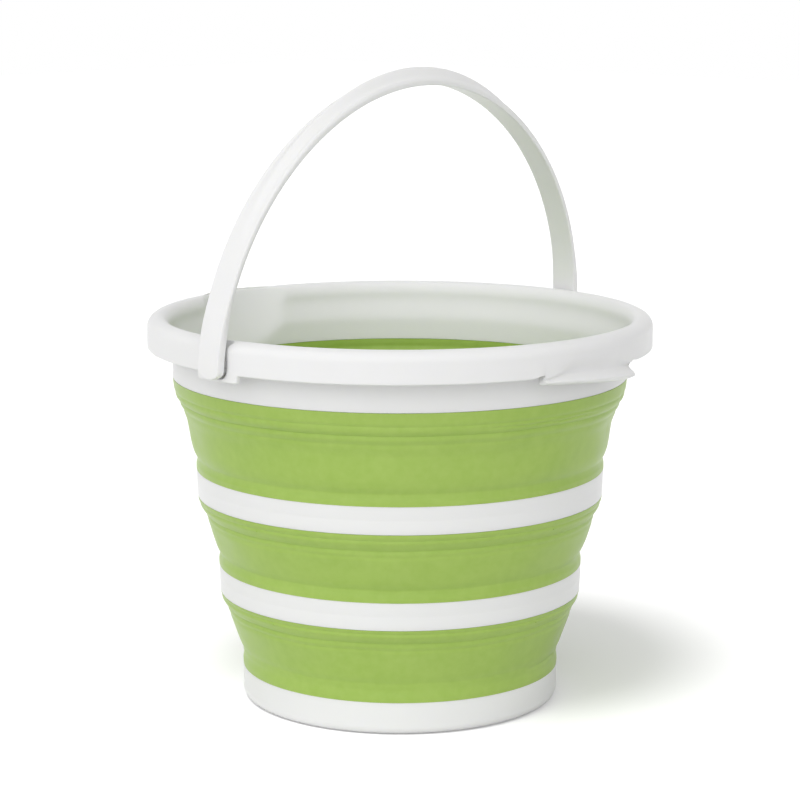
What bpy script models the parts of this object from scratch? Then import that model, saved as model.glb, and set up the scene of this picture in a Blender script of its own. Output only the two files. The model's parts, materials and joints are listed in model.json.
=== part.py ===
"""Collapsible camp bucket: a white base cup, two white bands and a white rim, joined by
three soft green membranes that fold, so that each ring slides down round the one below.
A bail handle turns on two studs that snap into pockets in the rim.

Metres, +Z up. The origin is the centre of the foot ring on the ground. The handle's pivot
axis runs along X, the pouring grip faces -Y and the spout faces +Y.
"""

import math

import bmesh
import bpy
from mathutils import Matrix, Vector

# Heights of the stack, from the ground up
BASE_HEIGHT = 0.0208
LOWER_MEMBRANE_HEIGHT = 0.0492
BAND_HEIGHT = 0.0174
MIDDLE_MEMBRANE_HEIGHT = 0.0450
UPPER_MEMBRANE_HEIGHT = 0.0590
RIM_HEIGHT = 0.0390

# Outer radii where the rings meet the membranes. Each ring is wider than the one below by a
# step, so that it slides down round it.
BASE_RADIUS = 0.1014
LOWER_STEP = 0.0142
MIDDLE_STEP = 0.0131
UPPER_STEP = 0.0142
BAND_FLARE = 0.0007
LOWER_BAND_RADIUS = BASE_RADIUS + LOWER_STEP
UPPER_BAND_RADIUS = LOWER_BAND_RADIUS + BAND_FLARE + MIDDLE_STEP
APRON_RADIUS = UPPER_BAND_RADIUS + BAND_FLARE + UPPER_STEP

# The tongue on each ring's edge that the membrane is moulded round. A ring's wall is the
# tongue and the rubber on both sides of it.
TONGUE_SETBACK = 0.0012
TONGUE_WALL = 0.0007
TONGUE_INSET = 0.0007
TONGUE_LENGTH = 0.0030
RING_WALL = TONGUE_SETBACK + TONGUE_WALL + TONGUE_INSET
MEMBRANE_WALL = 0.0016
FIT_GAP = 0.0003

# Base cup
BASE_CORNER = 0.0058
FOOT_SETBACK = 0.0001
FOOT_WIDTH = 0.0060
FOOT_DEPTH = 0.0015
FLOOR_WALL = 0.0025
INNER_CORNER = 0.0040
FOOT_RADIUS = BASE_RADIUS - BASE_CORNER - FOOT_SETBACK

# Rim: the lip steps out from the apron, rises to its crest and rolls over to the skirt
LIP_STEP = 0.0012
LIP_INNER_WIDTH = 0.0070
LIP_OUTER_WIDTH = 0.0075
LIP_ROLL_HEIGHT = 0.0068
LIP_INNER_DROP = 0.0090
APRON_FLARE_DROP = 0.0220
SKIRT_DEPTH = 0.0198
LIP_INNER_RADIUS = APRON_RADIUS + LIP_STEP
CREST_RADIUS = LIP_INNER_RADIUS + LIP_INNER_WIDTH
SKIRT_RADIUS = CREST_RADIUS + LIP_OUTER_WIDTH

# Pouring grip under the skirt: a scooped neck above a lip
GRIP_HALF_ANGLE = math.radians(15.0)
GRIP_DEPTH = 0.0067
GRIP_BACK_RADIUS = SKIRT_RADIUS - GRIP_DEPTH
GRIP_DROP = 0.0068
GRIP_LIP_WALL = 0.0036
SCOOP_RADIUS = 0.0056
SCOOP_STANDOFF = 0.0012
SCOOP_RUNOUT_ANGLE = math.radians(0.4)

# Spout: a tilted round channel through the inner wall
SPOUT_CHANNEL_RADIUS = 0.0600
SPOUT_SETBACK = 0.0025
SPOUT_REACH = SKIRT_RADIUS - SPOUT_SETBACK
SPOUT_TILT = math.radians(22.5)
SPOUT_WALL = 0.0022

# Handle and its pivot. The strap clears the skirt when it lies level round it.
PIVOT_DROP = 0.0168
HANDLE_SQUARENESS = 0.0006
HANDLE_CLEARANCE = 0.0005
HANDLE_RADIUS = SKIRT_RADIUS + HANDLE_CLEARANCE + HANDLE_SQUARENESS
HANDLE_WIDTH = 0.0182
HANDLE_WALL = 0.0053
GRIP_CROWN = 0.0058
HANDLE_EDGE_ROUND = 0.0012
HANDLE_LEAN = math.radians(4.9)
BOSS_RADIUS = 0.0052
END_MARGIN = 0.0008
HANDLE_END_DROP = BOSS_RADIUS + END_MARGIN
STUD_RADIUS = 0.0040
STUD_HEAD_LIP = 0.0007
STUD_HEAD_LENGTH = 0.0022
STUD_HEAD_CHAMFER = 0.0012
RUNNING_GAP = 0.0004

# The pocket that holds a strap end, and the ear round it that hangs below the skirt
POCKET_DEPTH = 0.0064
POCKET_PANEL_RADIUS = SKIRT_RADIUS - POCKET_DEPTH
POCKET_PANEL_WALL = 0.0020
POCKET_SIDE_ROOM = 0.0036
POCKET_HALF_WIDTH = BOSS_RADIUS + POCKET_SIDE_ROOM
POCKET_WALL = 0.0022
POCKET_FLOOR_ROOM = 0.0008
POCKET_FLOOR_WALL = 0.0018
EAR_FRAME = 0.0080
EAR_HALF_WIDTH = POCKET_HALF_WIDTH + EAR_FRAME

# A cutter runs this far past the face it cuts
OVERRUN = 0.0060
# A part that is fused to another is sunk this far into it
SINK = 0.0008
# Vertices closer than this are one
MERGE_DISTANCE = 0.000001

TURN_STEPS = 48
# Half a step round, so that no seam of a ring lies on a cutter's own middle line
SEAM_ANGLE = math.pi / TURN_STEPS
HANDLE_STEPS = 36
SCOOP_SIDES = 14
STUD_SIDES = 24
CORNER_STEPS = 4

# Places of the rings, worked out from the stack
LOWER_BAND_BOTTOM = BASE_HEIGHT + LOWER_MEMBRANE_HEIGHT
LOWER_BAND_TOP = LOWER_BAND_BOTTOM + BAND_HEIGHT
UPPER_BAND_BOTTOM = LOWER_BAND_TOP + MIDDLE_MEMBRANE_HEIGHT
UPPER_BAND_TOP = UPPER_BAND_BOTTOM + BAND_HEIGHT
RIM_BOTTOM = UPPER_BAND_TOP + UPPER_MEMBRANE_HEIGHT
RIM_TOP = RIM_BOTTOM + RIM_HEIGHT
SKIRT_BOTTOM = RIM_TOP - SKIRT_DEPTH
PIVOT_HEIGHT = RIM_TOP - PIVOT_DROP
POCKET_FLOOR = PIVOT_HEIGHT - BOSS_RADIUS - POCKET_FLOOR_ROOM
EAR_BOTTOM = POCKET_FLOOR - POCKET_FLOOR_WALL
GRIP_BOTTOM = SKIRT_BOTTOM - GRIP_DROP
SKIRT_LOW = min(EAR_BOTTOM, GRIP_BOTTOM)

# Outline of each membrane from its lower ring to its upper one: shares of its height and
# of the step between the two rings' radii
LOWER_OUTLINE_SHARES = [
    (0.063, 0.007), (0.140, -0.030), (0.200, 0.010), (0.377, 0.204),
    (0.509, 0.366), (0.641, 0.535), (0.763, 0.697), (0.864, 0.845), (0.930, 0.965),
]
MIDDLE_OUTLINE_SHARES = [
    (0.065, 0.005), (0.125, -0.020), (0.190, 0.025), (0.273, 0.126),
    (0.406, 0.300), (0.539, 0.447), (0.716, 0.664), (0.805, 0.767), (0.900, 0.945),
]
UPPER_OUTLINE_SHARES = [
    (0.050, 0.003), (0.100, -0.010), (0.207, 0.109), (0.290, 0.195), (0.478, 0.320),
    (0.560, 0.400), (0.681, 0.613), (0.749, 0.764), (0.817, 0.873), (0.885, 0.947),
]
# Outline of the handle's dome, from its middle to its edge: share of the half width and
# share of the crown's height
DOME_SHARES = [(0.0, 1.0), (0.35, 0.86), (0.63, 0.40), (0.80, 0.0)]
DOME_POWER = 4


def clear_scene():
    for old in list(bpy.data.objects):
        bpy.data.objects.remove(old, do_unlink=True)


def plastic(name, colour, roughness):
    """A plain moulded plastic."""
    material = bpy.data.materials.new(name)
    material.use_nodes = True
    shader = material.node_tree.nodes["Principled BSDF"]
    shader.inputs["Base Color"].default_value = (*colour, 1.0)
    shader.inputs["Roughness"].default_value = roughness
    shader.inputs["Metallic"].default_value = 0.0
    return material


def object_from_bmesh(name, bm, material=None):
    """Finish a bmesh as a smooth-shaded object in the scene."""
    bmesh.ops.recalc_face_normals(bm, faces=bm.faces)
    mesh = bpy.data.meshes.new(name)
    bm.to_mesh(mesh)
    bm.free()
    mesh.shade_smooth()
    mesh.set_sharp_from_angle(angle=math.radians(35.0))
    if material:
        mesh.materials.append(material)
    result = bpy.data.objects.new(name, mesh)
    bpy.context.scene.collection.objects.link(result)
    return result


def turned(name, profile, material=None, start=SEAM_ANGLE, sweep=math.tau, steps=TURN_STEPS):
    """Turn a closed (radius, height) profile about Z: all the way, or over a capped sector."""
    bm = bmesh.new()
    face = bm.faces.new([bm.verts.new((radius, 0.0, height)) for radius, height in profile])
    bmesh.ops.rotate(bm, verts=bm.verts, cent=(0, 0, 0), matrix=Matrix.Rotation(start, 3, "Z"))
    whole = math.isclose(sweep, math.tau)
    if whole:
        bm.faces.remove(face)
        for edge in [e for e in bm.edges if all(v.co.xy.length == 0 for v in e.verts)]:
            bm.edges.remove(edge)
    bmesh.ops.spin(
        bm, geom=[*bm.verts, *bm.edges, *bm.faces], cent=(0, 0, 0), axis=(0, 0, 1),
        angle=sweep, steps=steps, use_merge=whole,
    )
    bmesh.ops.remove_doubles(bm, verts=bm.verts, dist=MERGE_DISTANCE)
    return object_from_bmesh(name, bm, material)


def block(name, outline, half_width):
    """Extrude an (x, z) outline along Y, to the same width on both sides."""
    bm = bmesh.new()
    face = bm.faces.new([bm.verts.new((x, -half_width, z)) for x, z in outline])
    grown = bmesh.ops.extrude_face_region(bm, geom=[face])
    moved = [item for item in grown["geom"] if isinstance(item, bmesh.types.BMVert)]
    bmesh.ops.translate(bm, verts=moved, vec=(0, 2 * half_width, 0))
    return object_from_bmesh(name, bm)


def rod(name, radius, low, high, sides):
    """A cylinder between two points."""
    axis = Vector(high) - Vector(low)
    bm = bmesh.new()
    place = Matrix.Translation((Vector(low) + Vector(high)) / 2)
    turn = axis.to_track_quat("Z", "Y").to_matrix().to_4x4()
    bmesh.ops.create_cone(
        bm, cap_ends=True, segments=sides, radius1=radius, radius2=radius,
        depth=axis.length, matrix=place @ turn,
    )
    return object_from_bmesh(name, bm)


def combine(target, tool, operation):
    """Join or cut target with tool, which stays behind as a hidden wire guide."""
    tool.hide_render = True
    tool.display_type = "WIRE"
    change = target.modifiers.new(f"{operation.lower()} {tool.name}", "BOOLEAN")
    change.object = tool
    change.operation = operation
    change.solver = "EXACT"


def quarter(centre, radii, start, steps=CORNER_STEPS):
    """Points of a quarter ellipse in the (radius, height) plane, turning anticlockwise."""
    return [
        (
            centre[0] + radii[0] * math.cos(start + math.pi / 2 * i / steps),
            centre[1] + radii[1] * math.sin(start + math.pi / 2 * i / steps),
        )
        for i in range(steps + 1)
    ]


def tongue(radius, edge, side):
    """The thin tongue on a ring's edge, outer side first. side is +1 up, -1 down."""
    shoulder = edge - side * FIT_GAP / 2
    tip = edge + side * TONGUE_LENGTH
    outer = radius - TONGUE_SETBACK
    inner = outer - TONGUE_WALL
    return [(radius, shoulder), (outer, shoulder), (outer, tip), (inner, tip),
            (inner, shoulder), (radius - RING_WALL, shoulder)]


def slot(radius, edge, side):
    """The membrane's edge round a ring's tongue, outer side first."""
    mouth = edge + side * FIT_GAP / 2
    root = edge + side * (TONGUE_LENGTH + FIT_GAP)
    outer = radius - TONGUE_SETBACK + FIT_GAP
    inner = radius - TONGUE_SETBACK - TONGUE_WALL - FIT_GAP
    return [(radius, mouth), (outer, mouth), (outer, root), (inner, root),
            (inner, mouth), (radius - RING_WALL, mouth)]


def base_cup(material):
    """Floor, foot ring and low wall in one moulding."""
    wall_inside = BASE_RADIUS - RING_WALL
    recess = FOOT_RADIUS - FOOT_WIDTH
    floor_top = FOOT_DEPTH + FLOOR_WALL
    profile = [(0.0, FOOT_DEPTH), (recess - FOOT_DEPTH, FOOT_DEPTH), (recess, 0.0),
               (FOOT_RADIUS, 0.0)]
    corner = (BASE_RADIUS - BASE_CORNER, BASE_CORNER)
    profile += quarter(corner, (BASE_CORNER, BASE_CORNER), -math.pi / 2)[1:]
    profile += tongue(BASE_RADIUS, BASE_HEIGHT, 1)
    inside = (wall_inside - INNER_CORNER, floor_top + INNER_CORNER)
    profile += reversed(quarter(inside, (INNER_CORNER, INNER_CORNER), -math.pi / 2, 2))
    profile += [(0.0, floor_top)]
    return turned("base_cup", profile, material)


def band(name, radius, bottom, material):
    """A stiff ring with a tongue on each edge."""
    top_radius = radius + BAND_FLARE
    lower = tongue(radius, bottom, -1)
    upper = tongue(top_radius, bottom + BAND_HEIGHT, 1)
    return turned(name, upper + lower[::-1], material)


def membrane(name, low, high, shares, material):
    """A soft sleeve between two rings: low and high are (radius, height) of their edges."""
    rise = high[1] - low[1]
    step = high[0] - low[0]
    outer = [(low[0] + step * out, low[1] + rise * up) for up, out in shares]
    inner = [(radius - MEMBRANE_WALL, height) for radius, height in outer]
    root = TONGUE_LENGTH + FIT_GAP + MEMBRANE_WALL
    foot = (low[0] - RING_WALL, low[1] + root)
    head = (high[0] - RING_WALL, high[1] - root)
    inner = [foot] + [p for p in inner if foot[1] + FIT_GAP < p[1] < head[1] - FIT_GAP] + [head]
    profile = slot(high[0], high[1], -1) + inner[::-1] + slot(low[0], low[1], 1)[::-1] + outer
    return turned(name, profile, material)


def lip_line(depth):
    """Line at a depth under the rim's skin: over the lip from the skirt to the apron."""
    roll = (SKIRT_RADIUS - CREST_RADIUS - depth, LIP_ROLL_HEIGHT - depth)
    fall = (CREST_RADIUS - LIP_INNER_RADIUS - depth, LIP_INNER_DROP - depth)
    outside = quarter((CREST_RADIUS, RIM_TOP - LIP_ROLL_HEIGHT), roll, 0.0)
    inside = quarter((CREST_RADIUS, RIM_TOP - LIP_INNER_DROP), fall, math.pi / 2)[1:]
    apron = (APRON_RADIUS - RING_WALL + depth, RIM_TOP - APRON_FLARE_DROP)
    return outside + inside + [apron]


def rim_profile():
    """Section of the rim all the way round: apron, rolled lip, and a skirt to its lowest edge."""
    outside = [(SKIRT_RADIUS, SKIRT_LOW)] + lip_line(0.0)
    apron = tongue(APRON_RADIUS, RIM_BOTTOM, -1)[::-1]
    hollow = lip_line(RING_WALL)[::-1] + [(SKIRT_RADIUS - RING_WALL, SKIRT_LOW)]
    return outside + apron + hollow


def trim_skirt(rim, name, start, end, edge):
    """Cut the skirt between two angles up to its lower edge there."""
    if edge <= SKIRT_LOW:
        return
    inner = APRON_RADIUS + RING_WALL
    outer = SKIRT_RADIUS + OVERRUN
    low = SKIRT_LOW - OVERRUN
    outline = [(inner, low), (outer, low), (outer, edge), (inner, edge)]
    steps = max(2, round(TURN_STEPS * (end - start) / math.tau))
    combine(rim, turned(name, outline, None, start, end - start, steps), "DIFFERENCE")


def add_pouring_grip(rim):
    """Back the skirt on the -Y side, then scoop a neck out of it above the lip."""
    sweep = 2 * GRIP_HALF_ANGLE
    back_top = SKIRT_BOTTOM + SCOOP_RADIUS
    skirt_inside = SKIRT_RADIUS - RING_WALL
    outline = [
        (GRIP_BACK_RADIUS, GRIP_BOTTOM + FIT_GAP), (skirt_inside + SINK, GRIP_BOTTOM + FIT_GAP),
        (skirt_inside + SINK, back_top + 2 * SCOOP_RADIUS / 3), (skirt_inside - SINK, back_top),
        (GRIP_BACK_RADIUS, SKIRT_BOTTOM + SCOOP_RADIUS / 2),
    ]
    backing = turned(
        "grip_backing", outline, None, -math.pi / 2 - GRIP_HALF_ANGLE + SCOOP_RUNOUT_ANGLE / 4,
        sweep - SCOOP_RUNOUT_ANGLE / 2, 4,
    )
    combine(rim, backing, "UNION")
    centre = (SKIRT_RADIUS + SCOOP_STANDOFF, GRIP_BOTTOM + GRIP_LIP_WALL + SCOOP_RADIUS)
    circle = [
        (
            centre[0] + SCOOP_RADIUS * math.cos(math.tau * (i + 0.5) / SCOOP_SIDES),
            centre[1] + SCOOP_RADIUS * math.sin(math.tau * (i + 0.5) / SCOOP_SIDES),
        )
        for i in range(SCOOP_SIDES)
    ]
    scoop = turned(
        "grip_scoop", circle, None, -math.pi / 2 - GRIP_HALF_ANGLE - SCOOP_RUNOUT_ANGLE,
        sweep + 2 * SCOOP_RUNOUT_ANGLE, 6,
    )
    combine(rim, scoop, "DIFFERENCE")


def spout_line(height):
    """Centre of the spout's channel at a height: it leans out as it rises."""
    top = SPOUT_REACH - SPOUT_CHANNEL_RADIUS / math.cos(SPOUT_TILT)
    return (0.0, top - (RIM_TOP - height) * math.tan(SPOUT_TILT), height)


def add_spout(rim):
    """Wall the channel off from the hollow of the lip, then cut the channel."""
    low = RIM_BOTTOM + FIT_GAP
    depth = RING_WALL - SINK
    outline = [(APRON_RADIUS - SINK, low), (SKIRT_RADIUS - depth, low)] + lip_line(depth)
    half = math.asin(SPOUT_CHANNEL_RADIUS / APRON_RADIUS)
    wall = turned("spout_wall", outline, None, math.pi / 2 - half, 2 * half, 7)
    # The channel's ends are square to its tilted line, so it runs its own radius past the rim
    foot = spout_line(RIM_BOTTOM - OVERRUN)
    head = spout_line(RIM_TOP + SPOUT_CHANNEL_RADIUS)
    outside = SPOUT_CHANNEL_RADIUS + SPOUT_WALL
    reach = rod("spout_wall_limit", outside, foot, head, TURN_STEPS)
    combine(wall, reach, "INTERSECT")
    combine(rim, wall, "UNION")
    channel = rod("spout_channel", SPOUT_CHANNEL_RADIUS, foot, head, TURN_STEPS)
    combine(rim, channel, "DIFFERENCE")


def add_pocket(rim, side):
    """The handle's pocket on one side: a panel behind, side walls, and the stud's hole."""
    back = POCKET_PANEL_RADIUS - POCKET_PANEL_WALL
    front = SKIRT_RADIUS - RING_WALL / 2
    low = EAR_BOTTOM + FIT_GAP
    shoulder = RIM_TOP - LIP_ROLL_HEIGHT
    half_width = POCKET_HALF_WIDTH + POCKET_WALL
    front_at_wall = math.sqrt(front * front - half_width * half_width)
    outline = [
        (back, low), (front_at_wall, low), (front_at_wall, shoulder),
        ((back + front_at_wall) / 2, RIM_TOP - RING_WALL / 2), (back, RIM_TOP - RING_WALL / 2),
    ]
    outline = [(side * x, z) for x, z in outline]
    combine(rim, block(f"pocket_block_{side:+d}", outline, half_width), "UNION")
    far = SKIRT_RADIUS + OVERRUN
    high = RIM_TOP + OVERRUN
    opening = [(POCKET_PANEL_RADIUS, POCKET_FLOOR), (far, POCKET_FLOOR), (far, high),
               (POCKET_PANEL_RADIUS, high)]
    opening = [(side * x, z) for x, z in opening]
    combine(rim, block(f"pocket_cut_{side:+d}", opening, POCKET_HALF_WIDTH), "DIFFERENCE")
    hole = rod(
        f"stud_hole_{side:+d}", STUD_RADIUS + FIT_GAP, (side * (back - SINK), 0.0, PIVOT_HEIGHT),
        (side * (POCKET_PANEL_RADIUS + SINK), 0.0, PIVOT_HEIGHT), STUD_SIDES,
    )
    combine(rim, hole, "DIFFERENCE")


def make_rim(material):
    rim = turned("rim", rim_profile(), material)
    ear = math.asin(EAR_HALF_WIDTH / SKIRT_RADIUS)
    grip = math.pi / 2 - GRIP_HALF_ANGLE
    trim_skirt(rim, "skirt_trim_back", ear, math.pi - ear, SKIRT_BOTTOM)
    trim_skirt(rim, "skirt_trim_left", math.pi + ear, math.pi + grip, SKIRT_BOTTOM)
    trim_skirt(rim, "skirt_trim_right", -grip, -ear, SKIRT_BOTTOM)
    # These run on into the skirt's own trims, so that no sliver is left between them
    reach = ear + EAR_FRAME / SKIRT_RADIUS
    trim_skirt(rim, "ear_trim_right", -reach, reach, EAR_BOTTOM)
    trim_skirt(rim, "ear_trim_left", math.pi - reach, math.pi + reach, EAR_BOTTOM)
    reach = GRIP_HALF_ANGLE + EAR_FRAME / SKIRT_RADIUS
    trim_skirt(rim, "grip_trim", -math.pi / 2 - reach, -math.pi / 2 + reach, GRIP_BOTTOM)
    add_pouring_grip(rim)
    add_spout(rim)
    for side in (1, -1):
        add_pocket(rim, side)
    return rim


def handle_section(half_width, crown):
    """Section of the strap: (across, outward) points round a flat back and a domed front."""
    edge = min(HANDLE_EDGE_ROUND, half_width / 2)
    right = [(half_width - edge, 0.0), (half_width, edge), (half_width, HANDLE_WALL - edge),
             (half_width - edge, HANDLE_WALL)]
    dome = [(share * (half_width - edge), HANDLE_WALL + height * crown)
            for share, height in reversed(DOME_SHARES)]
    left = [(-across, out) for across, out in reversed(right)]
    return right + dome + [(-across, out) for across, out in dome[-2::-1]] + left


def handle_station(angle):
    """Point on the strap's inner side at an angle up from +X, and the outward direction."""
    radius = HANDLE_RADIUS + HANDLE_SQUARENESS * math.cos(4 * angle)
    slope = -4 * HANDLE_SQUARENESS * math.sin(4 * angle)
    point = Vector((radius * math.cos(angle), 0.0, radius * math.sin(angle)))
    along = Vector((slope * math.cos(angle) - radius * math.sin(angle), 0.0,
                    slope * math.sin(angle) + radius * math.cos(angle))).normalized()
    return point, Vector((along.z, 0.0, -along.x))


def handle_rings():
    """Sections from one round end, over the arch, to the other round end."""
    half = HANDLE_WIDTH / 2
    span = HANDLE_RADIUS + HANDLE_SQUARENESS
    rings = []
    end_angles = [math.radians(share * 90.0) for share in (0.85, 0.6, 0.3)]
    ends = [(HANDLE_END_DROP * math.sin(a), half * math.cos(a)) for a in end_angles]
    for drop, width in ends:
        rings.append((Vector((span, 0.0, -drop)), Vector((1, 0, 0)), width, 0.0))
    for i in range(HANDLE_STEPS + 1):
        angle = math.pi * i / HANDLE_STEPS
        point, out = handle_station(angle)
        rings.append((point, out, half, GRIP_CROWN * math.sin(angle) ** DOME_POWER))
    for drop, width in reversed(ends):
        rings.append((Vector((-span, 0.0, -drop)), Vector((-1, 0, 0)), width, 0.0))
    return rings


def pivot_stud(side):
    """Boss, stud and snap head on the inside of a strap end, turned about X."""
    panel_back = POCKET_PANEL_RADIUS - POCKET_PANEL_WALL
    head = panel_back - RUNNING_GAP
    tip = head - STUD_HEAD_LENGTH
    head_radius = STUD_RADIUS + STUD_HEAD_LIP
    face = POCKET_PANEL_RADIUS + RUNNING_GAP
    root = HANDLE_RADIUS + HANDLE_SQUARENESS + SINK
    profile = [
        (0.0, tip), (head_radius - STUD_HEAD_CHAMFER, tip), (head_radius, tip + STUD_HEAD_CHAMFER),
        (head_radius, head), (STUD_RADIUS, head), (STUD_RADIUS, face), (BOSS_RADIUS, face),
        (BOSS_RADIUS, root), (0.0, root),
    ]
    stud = turned(f"pivot_stud_{side:+d}", profile, None, math.pi / STUD_SIDES, steps=STUD_SIDES)
    stud.data.transform(Matrix.Rotation(side * math.pi / 2, 4, "Y"))
    return stud


def make_handle(material):
    """Swept strap with a stud at each end. Its origin is on the pivot axis."""
    bm = bmesh.new()
    loops = []
    for point, out, half_width, crown in handle_rings():
        section = handle_section(half_width, crown)
        loops.append([bm.verts.new(point + out * rise + Vector((0, across, 0)))
                      for across, rise in section])
    count = len(loops[0])
    for first, second in zip(loops, loops[1:]):
        for i in range(count):
            j = (i + 1) % count
            bm.faces.new((first[i], first[j], second[j], second[i]))
    bm.faces.new(loops[0])
    bm.faces.new(loops[-1])
    handle = object_from_bmesh("handle", bm, material)
    handle.location = (0, 0, PIVOT_HEIGHT)
    handle.rotation_euler = (HANDLE_LEAN, 0, 0)
    for side in (1, -1):
        stud = pivot_stud(side)
        stud.location = handle.location
        stud.rotation_euler = handle.rotation_euler
        combine(handle, stud, "UNION")
    return handle


def main():
    clear_scene()
    white = plastic("white_polypropylene", (0.85, 0.85, 0.82), 0.35)
    green = plastic("green_soft_rubber", (0.38, 0.58, 0.09), 0.55)
    lower_top = LOWER_BAND_RADIUS + BAND_FLARE
    upper_top = UPPER_BAND_RADIUS + BAND_FLARE
    base_cup(white)
    band("lower_band", LOWER_BAND_RADIUS, LOWER_BAND_BOTTOM, white)
    band("upper_band", UPPER_BAND_RADIUS, UPPER_BAND_BOTTOM, white)
    membrane("lower_membrane", (BASE_RADIUS, BASE_HEIGHT),
             (LOWER_BAND_RADIUS, LOWER_BAND_BOTTOM), LOWER_OUTLINE_SHARES, green)
    membrane("middle_membrane", (lower_top, LOWER_BAND_TOP),
             (UPPER_BAND_RADIUS, UPPER_BAND_BOTTOM), MIDDLE_OUTLINE_SHARES, green)
    membrane("upper_membrane", (upper_top, UPPER_BAND_TOP),
             (APRON_RADIUS, RIM_BOTTOM), UPPER_OUTLINE_SHARES, green)
    make_rim(white)
    make_handle(white)


main()
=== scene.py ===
# %% [markdown]
# # A collapsible camp bucket
#
# The bucket is one stack of rings. A white cup stands on the ground, two white bands and a
# white rim stand above it, and a soft green sleeve joins each ring to the next. The sleeves
# fold, so the rings slide down round each other. A white strap handle snaps into the rim.
#
# The solids that hold the sizes and the joints are loaded first. Each of them is then
# replaced by a finer piece of the same size, which is modelled here step by step.

import json
import math

import bpy
from mathutils import Matrix, Vector, noise

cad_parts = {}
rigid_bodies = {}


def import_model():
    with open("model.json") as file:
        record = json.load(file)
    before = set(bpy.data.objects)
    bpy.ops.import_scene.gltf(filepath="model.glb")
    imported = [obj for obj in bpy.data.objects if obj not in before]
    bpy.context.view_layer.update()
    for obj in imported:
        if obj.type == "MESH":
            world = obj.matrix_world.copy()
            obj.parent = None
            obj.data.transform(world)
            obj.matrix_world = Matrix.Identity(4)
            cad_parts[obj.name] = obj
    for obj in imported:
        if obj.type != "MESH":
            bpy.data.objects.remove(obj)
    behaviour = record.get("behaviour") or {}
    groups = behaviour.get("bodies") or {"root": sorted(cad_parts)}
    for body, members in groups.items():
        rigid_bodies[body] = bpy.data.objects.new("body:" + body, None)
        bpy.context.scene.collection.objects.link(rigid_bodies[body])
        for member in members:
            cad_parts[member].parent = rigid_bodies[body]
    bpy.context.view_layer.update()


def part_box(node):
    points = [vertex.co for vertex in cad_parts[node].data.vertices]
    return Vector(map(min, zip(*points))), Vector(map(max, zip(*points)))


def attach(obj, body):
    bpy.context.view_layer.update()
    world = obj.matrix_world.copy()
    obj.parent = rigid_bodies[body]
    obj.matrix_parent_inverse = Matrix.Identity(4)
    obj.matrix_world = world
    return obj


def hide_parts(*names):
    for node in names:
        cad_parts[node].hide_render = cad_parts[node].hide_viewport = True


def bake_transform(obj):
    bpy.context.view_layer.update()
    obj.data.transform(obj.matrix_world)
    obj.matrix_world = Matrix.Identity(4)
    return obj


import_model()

# %% [markdown]
# ## Sizes from the frame
#
# A sleeve meets the ring under it and the ring over it, with a gap of 0.3 mm. So the boxes
# of the three sleeves say at what height every ring starts and ends. A ring in the frame has
# 48 flat sides, and its box touches the middles of the sides. The true radius is that of the
# corners, a little more.

# %% Heights and radii of the stack, in metres
FRAME_SIDES = 48
JOINT_GAP = 0.0003


def sleeve_heights(node):
    low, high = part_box(node)
    return low.z - JOINT_GAP / 2, high.z + JOINT_GAP / 2


def ring_radius(node):
    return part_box(node)[1].x / math.cos(math.pi / FRAME_SIDES)


BASE_TOP, LOWER_BAND_BOTTOM = sleeve_heights("lower_membrane")
LOWER_BAND_TOP, UPPER_BAND_BOTTOM = sleeve_heights("middle_membrane")
UPPER_BAND_TOP, RIM_BOTTOM = sleeve_heights("upper_membrane")
RIM_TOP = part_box("rim")[1].z
BAND_FLARE = 0.0007
BASE_RADIUS = ring_radius("base_cup")
LOWER_BAND_RADIUS = ring_radius("lower_band") - BAND_FLARE
UPPER_BAND_RADIUS = ring_radius("upper_band") - BAND_FLARE
APRON_RADIUS = ring_radius("upper_membrane")
SKIRT_RADIUS = 0.1600
RING_WALL = 0.0026
print("ring radii in mm:", [round(1000 * r, 1) for r in (BASE_RADIUS, LOWER_BAND_RADIUS,
                                                         UPPER_BAND_RADIUS, APRON_RADIUS)])

# %% [markdown]
# ## The camera
#
# The photograph looks down on the bucket by about ten degrees, from the corner between the
# pouring grip and one end of the handle. The lens is long, so the rings look nearly like
# plain ellipses.

# %% Camera
CAMERA_PLACE = (-1.2014, -1.1164, 0.4850)
CAMERA_TILT = math.radians(79.84)
CAMERA_TURN = math.radians(-47.10)
LENS = 117.45
SENSOR = 36.0
NEAR_CLIP = 0.01

select_all = bpy.ops.object.select_all
select_all(action="DESELECT")
bpy.ops.object.camera_add(location=CAMERA_PLACE, rotation=(CAMERA_TILT, 0.0, CAMERA_TURN))
camera = bpy.context.object
camera.name = "photo_camera"
camera.data.lens = LENS
camera.data.sensor_width = SENSOR
camera.data.clip_start = NEAR_CLIP
bpy.context.scene.camera = camera
print(camera.name, "has a lens of", round(LENS), "mm")

# %% [markdown]
# ## Small helpers
#
# Colours are written as on a web page, and one function turns them to the linear values that
# Blender works in. One more function adds a node to a material, sets its values and links
# what comes in, so a material reads from top to bottom like a recipe.

# %% Colour and node helpers


def linear(hex_colour):
    """A #RRGGBB colour as linear red, green, blue and alpha."""
    parts = [int(hex_colour[i:i + 2], 16) / 255 for i in (1, 3, 5)]
    parts = [c / 12.92 if c <= 0.04045 else ((c + 0.055) / 1.055) ** 2.4 for c in parts]
    return (*parts, 1.0)


def add_node(tree, kind, inputs=None, **settings):
    """Add a node. inputs maps a socket to a value or to another node's output."""
    node = tree.nodes.new(kind)
    for name, value in settings.items():
        setattr(node, name, value)
    for name, value in (inputs or {}).items():
        if isinstance(value, bpy.types.NodeSocket):
            tree.links.new(value, node.inputs[name])
        else:
            node.inputs[name].default_value = value
    return node


def new_material(name):
    """An empty node material, and its tree."""
    material = bpy.data.materials.new(name)
    material.use_nodes = True
    material.node_tree.nodes.clear()
    return material, material.node_tree


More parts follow.
